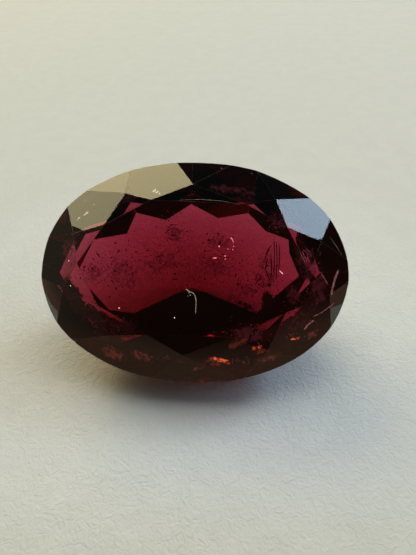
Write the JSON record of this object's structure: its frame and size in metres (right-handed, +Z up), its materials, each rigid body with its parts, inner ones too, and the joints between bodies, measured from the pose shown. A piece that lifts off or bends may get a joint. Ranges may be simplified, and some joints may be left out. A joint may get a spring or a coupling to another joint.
{
  "type": "faceted oval gemstone",
  "caption": "Oval faceted pink-red tourmaline, one solid transparent crystal with a flat table, sloping crown facets and a pointed pavilion, lying on one pavilion facet.",
  "frame": {"origin": "middle of the stone's footprint box, on the surface that it lies on", "axes": "+X along the oval's length, -Y towards the side that the table leans to, +Z up"},
  "size_m": [0.014, 0.0082, 0.0078],
  "materials": {
    "tourmaline": "polished"
  },
  "bodies": {
    "root": {"stone": "tourmaline"}
  },
  "joints": []
}
